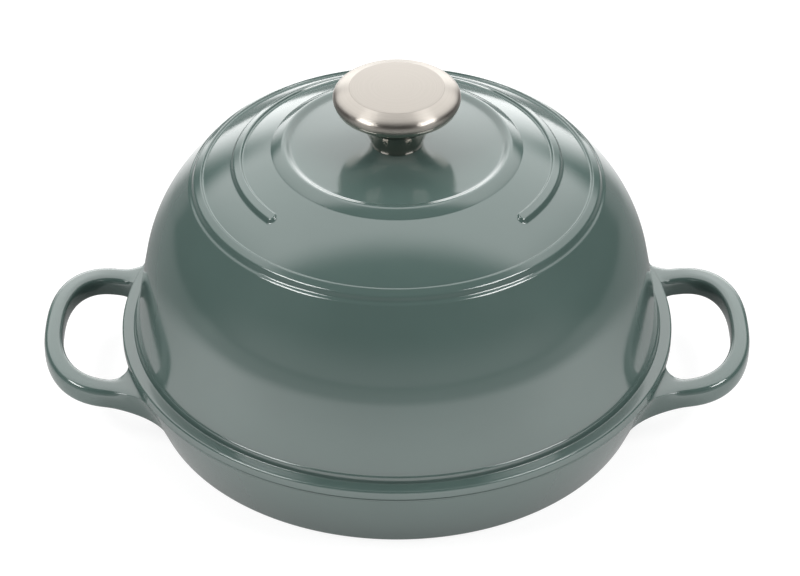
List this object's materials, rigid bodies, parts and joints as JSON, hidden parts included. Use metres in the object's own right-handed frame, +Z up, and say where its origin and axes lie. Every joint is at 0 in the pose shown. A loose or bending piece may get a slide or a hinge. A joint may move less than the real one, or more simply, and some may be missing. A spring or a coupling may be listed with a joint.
{
  "type": "bread cloche",
  "caption": "Cast bread cloche: a shallow pan with two loop handles under a tall domed lid with raised rings and a turned steel knob.",
  "frame": {"origin": "on the table, under the middle of the pan", "axes": "+Z up along the axis of the dome and the knob, X through both handles, and -Y to the front, where the middle ring is open"},
  "size_m": [0.3216, 0.25, 0.1625],
  "materials": {
    "enamelled_iron": "gloss enamel",
    "stainless_steel": "satin",
    "screw_steel": "satin"
  },
  "bodies": {
    "pan": {"base": "enamelled_iron"},
    "cover": {"lid": "enamelled_iron", "knob": "stainless_steel", "knob_screw": "screw_steel", "washer": "screw_steel"}
  },
  "joints": [
    {"name": "lid_lift", "type": "slide", "parent": "pan", "child": "cover", "axis": [0, 0, 1], "range_m": [0, 0.2]}
  ]
}
